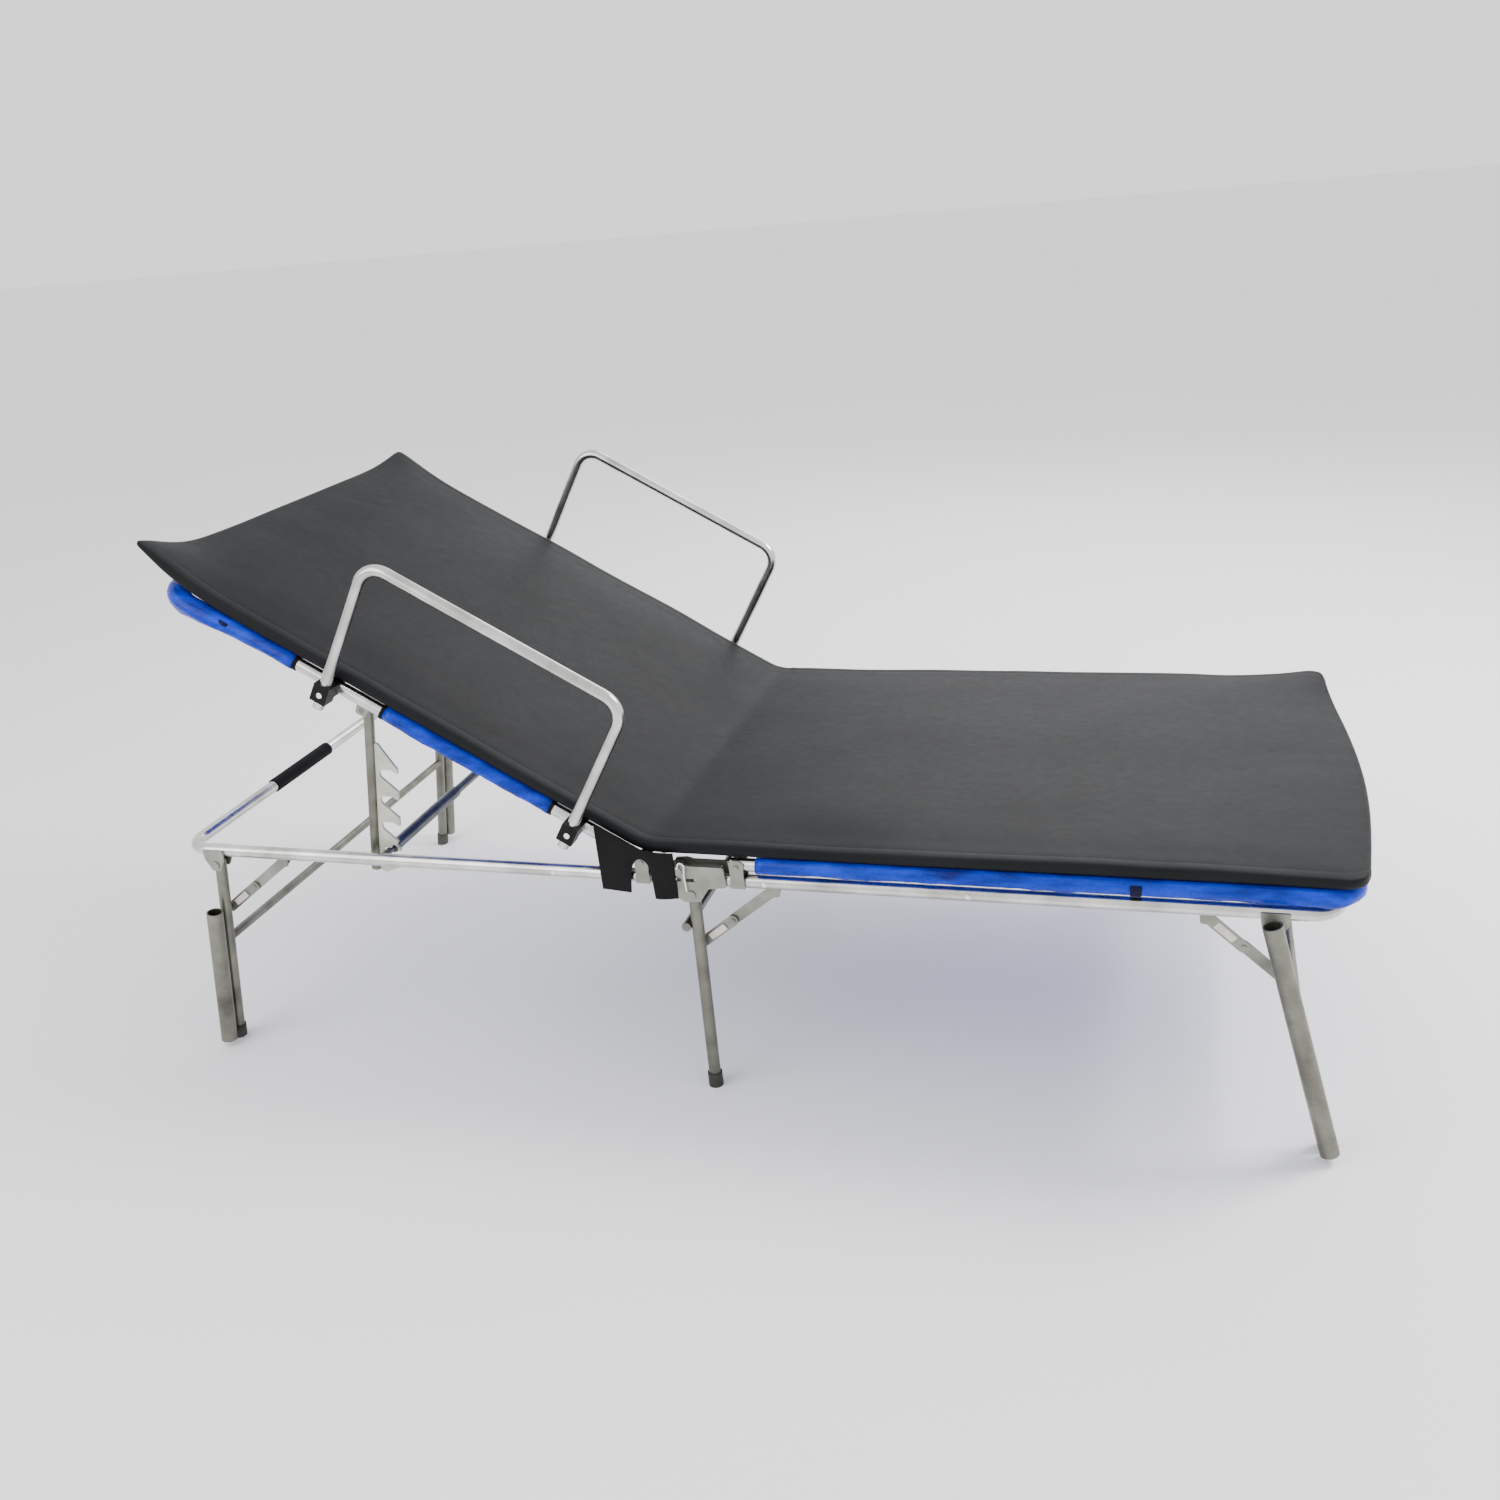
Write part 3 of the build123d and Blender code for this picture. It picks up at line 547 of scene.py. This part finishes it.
def sheetSkin(x0, x1, half, top):    # sheet between the tubes, sagging in the middle
    nx = max(4, round(abs(x1 - x0) / cloth["sheetStep"]))
    ny = round(2 * half / cloth["sheetStep"])
    verts = []
    for layer in (0, 1):
        for i in range(nx + 1):
            for j in range(ny + 1):
                u, v = i / nx, j / ny
                sag = cloth["sag"] * math.sin(math.pi * v) ** 0.7
                verts.append(Vector((x0 + (x1 - x0) * u, -half + 2 * half * v,
                                     top - sag - layer * cloth["thick"])))
    faces = []
    size = (nx + 1) * (ny + 1)
    for i in range(nx):
        for j in range(ny):
            a = i * (ny + 1) + j
            quad = (a, a + ny + 1, a + ny + 2, a + 1)
            faces.append(quad)
            faces.append(tuple(reversed([q + size for q in quad])))
    rim = list(range(ny + 1)) + [i * (ny + 1) + ny for i in range(1, nx + 1)]
    rim += [nx * (ny + 1) + j for j in range(ny - 1, -1, -1)] + [i * (ny + 1) for i in range(nx - 1, 0, -1)]
    for a, b in zip(rim, rim[1:] + rim[:1]):
        faces.append((a, b, b + size, a + size))
    return verts, faces


sheetTop = sleeveR - 0.0012
sheetHalf = railY - cloth["inset"]
backHalf = railY - cloth["backInset"]
deckEnd = deckHigh.x - tubeR
footCloth = ([], [])
addMesh(footCloth, sleeveSkin(spanPoints(cloth["start"], deckEnd, railY, cloth["bend"]), 2.0,
                              cloth["fullFoot"]))
addMesh(footCloth, sheetSkin(cloth["start"], deckEnd - cloth["inset"], sheetHalf, sheetTop))
footPiece = newPiece("footCloth", [v + Vector((0, 0, deckZ)) for v in footCloth[0]], footCloth[1],
                     finishes["cloth"])
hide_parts("fabric_foot")
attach(footPiece, "base_foot")

backSleeves = {"first": (0.175, 0.488), "head": 0.662}
backEnd = backReach("backrest_frame") - tubeR
backCloth = ([], [])
addMesh(backCloth, sleeveSkin(spanPoints(backSleeves["head"], backEnd, railY, cloth["bend"]), 5.0,
                              cloth["fullHead"]))
low, high = backSleeves["first"]
count = round((high - low) / cloth["step"])
for side in sides.values():
    line = [(Vector((low + (high - low) * i / count, side * railY, 0)), Vector((0, side, 0)))
            for i in range(count + 1)]
    addMesh(backCloth, sleeveSkin(line, 7.0 + side))
addMesh(backCloth, sheetSkin(low, backEnd - cloth["inset"], backHalf, sheetTop))
backPiece = newPiece("backCloth", [onBack(v.x, v.y, v.z) for v in backCloth[0]], backCloth[1],
                     finishes["cloth"])
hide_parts("fabric_back")
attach(backPiece, "backrest")
print("cloth done")


# ---- flaps of the mat that hang over the side tubes at the hip, in the mat's own charcoal fabric coloured near black as painted shade

flap = {"bottom": 0.372, "thick": 0.0018, "out": 0.0085, "rows": 14, "columns": 34,
        "up": 0.009, "from": 0.072, "to": -0.030, "archHalf": 0.019, "archTop": 0.026}


def flapBottom(x):    # two lobes with an arch between them, round the bracket
    away = abs(x - backPivot.x)
    low = flap["bottom"] + 0.006 * math.sin((x - hipX) * 34)
    if away < flap["archHalf"]:
        rise = math.sqrt(1 - (away / flap["archHalf"]) ** 2)
        low = max(low, deckZ - flap["archTop"] + flap["archTop"] * 1.3 * rise)
    return low


# the mat's side line round the bend, which the flaps hang from
flapLine = [bendMat(0.005 * i, 0, matBottom + flap["up"]) for i in range(-40, 41)]


def flapTop(x):
    return float(np.interp(x, [p.x for p in flapLine], [p.z for p in flapLine]))


def makeFlap(word, side):
    left = backPivot.x - flap["from"]
    right = hipX + flap["to"] + 0.008
    verts = []
    for layer in (0, 1):
        for i in range(flap["columns"] + 1):
            x = left + (right - left) * i / flap["columns"]
            top, low = flapTop(x), flapBottom(x)
            for j in range(flap["rows"] + 1):
                t = j / flap["rows"]
                z = top + (low - top) * t
                drape = 0.0016 * math.sin(x * 90 + 1.2) * t
                y = railY + tubeR + flap["out"] + drape - 0.002 * t * t
                verts.append((x, side * (y - layer * flap["thick"]), z))
    stride = flap["rows"] + 1
    size = (flap["columns"] + 1) * stride
    faces = []
    for i in range(flap["columns"]):
        for j in range(flap["rows"]):
            a = i * stride + j
            quad = (a, a + stride, a + stride + 1, a + 1)
            back = tuple(reversed([q + size for q in quad]))
            faces += [quad, back] if side < 0 else [tuple(reversed(quad)), tuple(reversed(back))]
    rim = [i * stride for i in range(flap["columns"] + 1)]
    rim += [flap["columns"] * stride + j for j in range(1, stride)]
    rim += [i * stride + flap["rows"] for i in range(flap["columns"] - 1, -1, -1)]
    rim += list(range(flap["rows"] - 1, 0, -1))
    for a, b in zip(rim, rim[1:] + rim[:1]):
        edge = (a, a + size, b + size, b)
        faces.append(edge if side < 0 else tuple(reversed(edge)))
    piece = newPiece(f"hipFlap_{word}", verts, faces, finishes["flap"])
    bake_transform(piece)


for word, side in sides.items():
    makeFlap(word, side)
print("flaps done")


# ---- small pieces

def turned(name, profile, at, axis, material, around=24):    # outline of radius and height, turned
    turn = Vector((0, 0, 1)).rotation_difference(axis).to_matrix()
    rings = [[at + turn @ Vector((r * math.cos(2 * math.pi * j / around),
                                  r * math.sin(2 * math.pi * j / around), h)) for j in range(around)]
             for r, h in profile]
    return newPiece(name, *loft(rings), material)


def domeProfile(radius, height, rows=6):
    dome = [(radius * math.cos(a), height * (0.3 + 0.7 * math.sin(a)))
            for a in (math.pi / 2 * i / rows * 0.96 for i in range(rows + 1))]
    return [(radius, 0)] + dome


rivet = {"rail": (0.0045, 0.0022), "clamp": (0.0052, 0.0026), "sunk": 0.0004, "below": 0.002,
         "places": (("head_frame", -0.24), ("base_foot", 0.123), ("base_foot", 0.444))}
for word, side in sides.items():
    outward = Vector((0, side, 0))
    for number, (body, x) in enumerate(rivet["places"], 1):
        at = Vector((hipX + x, side * (railY + tubeR - rivet["sunk"]), railZ))
        piece = turned(f"railRivet_{word}_{number}", domeProfile(*rivet["rail"]), at, outward,
                       finishes["clip"])
        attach(piece, body)
    for number in (1, 2):
        low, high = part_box(f"clamp_{word}_{number}")
        middle = (low + high) / 2
        at = Vector((middle.x, high.y if side > 0 else low.y, middle.z - rivet["below"]))
        piece = turned(f"clampRivet_{word}_{number}", domeProfile(*rivet["clamp"]), at, outward,
                       finishes["clip"])
        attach(piece, f"handrail_{word}")

label = {"length": 0.036, "width": 0.0115, "thick": 0.0005, "corner": 0.002, "from": 0.018,
         "rivetHead": 0.0018}


def makeLabel(name, start, end, face, body):    # blank sticker on a brace link
    way = (end - start).normalized()
    over = way.cross(face).normalized()
    centre = start + way * (label["from"] + label["length"] / 2)
    outline = []
    for sx, sy, first in ((1, 1, 0), (-1, 1, 90), (-1, -1, 180), (1, -1, 270)):
        for k in range(5):
            a = math.radians(first + 22.5 * k)
            outline.append((sx * (label["length"] / 2 - label["corner"]) + label["corner"] * math.cos(a),
                            sy * (label["width"] / 2 - label["corner"]) + label["corner"] * math.sin(a)))
    rings = [[centre + way * (u * shrink) + over * (v * shrink) + face * h for u, v in outline]
             for h, shrink in ((0.0, 1.0), (label["thick"] * 0.7, 1.0), (label["thick"], 0.985))]
    piece = newPiece(name, *loft(rings), finishes["label"], smooth=False)
    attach(piece, body)


for name in ("head", "mid", "foot"):
    onRail = Vector(joints[f"{name}_upper_turn"]["pos_m"])
    onLeg = Vector(joints[f"{name}_lower_turn"]["pos_m"])
    labelled = "upper" if name == "foot" else "lower"
    start, end = (onRail, onLeg) if name == "foot" else (onLeg, onRail)
    for word, side in sides.items():
        face = Vector((0, side, 0))
        faceY = max(abs(v.co.y) for v in nodes[f"{name}_{labelled}_links"].data.vertices)
        if name == "foot":    # a rivet stands out of this link's flat face
            faceY -= label["rivetHead"]
        shift = Vector((0, side * faceY, 0))
        makeLabel(f"braceLabel_{name}_{word}", start + shift, end + shift, face,
                  f"{name}_{labelled}_links")


tie = {"width": 0.017, "around": 28, "start": math.radians(150), "stop": math.radians(390),
       "back": 0.795, "foot": 0.688}


def makeTie(name, centre, side, body, toWorld):    # band part way round a sleeve
    rings = []
    width = tie["width"]
    profile = [(sleeveR + 0.0003, -width / 2), (sleeveR + 0.0016, -width / 2 + 0.001),
               (sleeveR + 0.0022, 0), (sleeveR + 0.0016, width / 2 - 0.001), (sleeveR + 0.0003, width / 2)]
    for j in range(tie["around"] + 1):
        a = tie["start"] + (tie["stop"] - tie["start"]) * j / tie["around"]
        wave = 0.0005 * math.sin(5 * a)
        rings.append([toWorld(centre[0] + h, centre[1] + (r + wave) * math.cos(a) * side,
                              (r + wave) * math.sin(a)) for r, h in profile])
    piece = newPiece(name, *loft(rings), finishes["tie"])
    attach(piece, body)


for word, side in sides.items():
    makeTie(f"backTie_{word}", (tie["back"], side * railY), side, "backrest", onBack)
    makeTie(f"footTie_{word}", (hipX + tie["foot"], side * railY), side, "base_foot",
            lambda x, y, z: Vector((x, y, deckZ + z)))
print("small pieces done")


# ---- floor, light and camera

stage = {"reach": 40.0, "floor": (0.90, 0.90, 0.90), "rough": 0.75, "sky": (0.97, 0.98, 1.0, 1),
         "strength": 1.45, "aim": (0, 0, 0.4)}
reach = stage["reach"]
floorMaterial, floorTree, floorShader = newMaterial("pale floor")
floorTree.links.new(ramp(floorTree, speckle(floorTree, 1.2), [c * 0.985 for c in stage["floor"]],
                         stage["floor"]), floorShader.inputs["Base Color"])
floorShader.inputs["Roughness"].default_value = stage["rough"]
floor = newPiece("floor", [(-reach, -reach, 0), (reach, -reach, 0), (reach, reach, 0), (-reach, reach, 0)],
                 [(0, 1, 2, 3)], floorMaterial, smooth=False)

world = bpy.data.worlds.new("studio")
bpy.context.scene.world = world
world.use_nodes = True
background = world.node_tree.nodes["Background"]
background.inputs["Color"].default_value = stage["sky"]
background.inputs["Strength"].default_value = stage["strength"]

lights = {
    "key": {"at": (2.6, 0.9, 3.0), "size": 1.4, "power": 150},
    "fill": {"at": (-2.0, -2.6, 2.4), "size": 2.6, "power": 60},
    "back": {"at": (0.4, 3.4, 2.8), "size": 2.4, "power": 60},
}
for name, settings in lights.items():
    lamp = bpy.data.lights.new(name, "AREA")
    lamp.energy = settings["power"]
    lamp.size = settings["size"]
    holder = bpy.data.objects.new(name, lamp)
    bpy.context.scene.collection.objects.link(holder)
    holder.location = settings["at"]
    toward = Vector(stage["aim"]) - Vector(settings["at"])
    holder.rotation_euler = toward.to_track_quat("-Z", "Y").to_euler()

view = {"at": (0.72685, -2.2809, 1.4336), "azimuth": 18.335, "elevation": 22.298, "roll": -5.4286,
        "lens": 33.55, "sensor": 36}
lensData = bpy.data.cameras.new("camera")
lensData.lens = view["lens"]
lensData.sensor_width = view["sensor"]
camera = bpy.data.objects.new("camera", lensData)
bpy.context.scene.collection.objects.link(camera)
turn = (Matrix.Rotation(math.radians(view["azimuth"]), 4, "Z")
        @ Matrix.Rotation(math.radians(90 - view["elevation"]), 4, "X")
        @ Matrix.Rotation(math.radians(view["roll"]), 4, "Z"))
camera.matrix_world = Matrix.Translation(view["at"]) @ turn
bpy.context.scene.camera = camera

print("stage done")
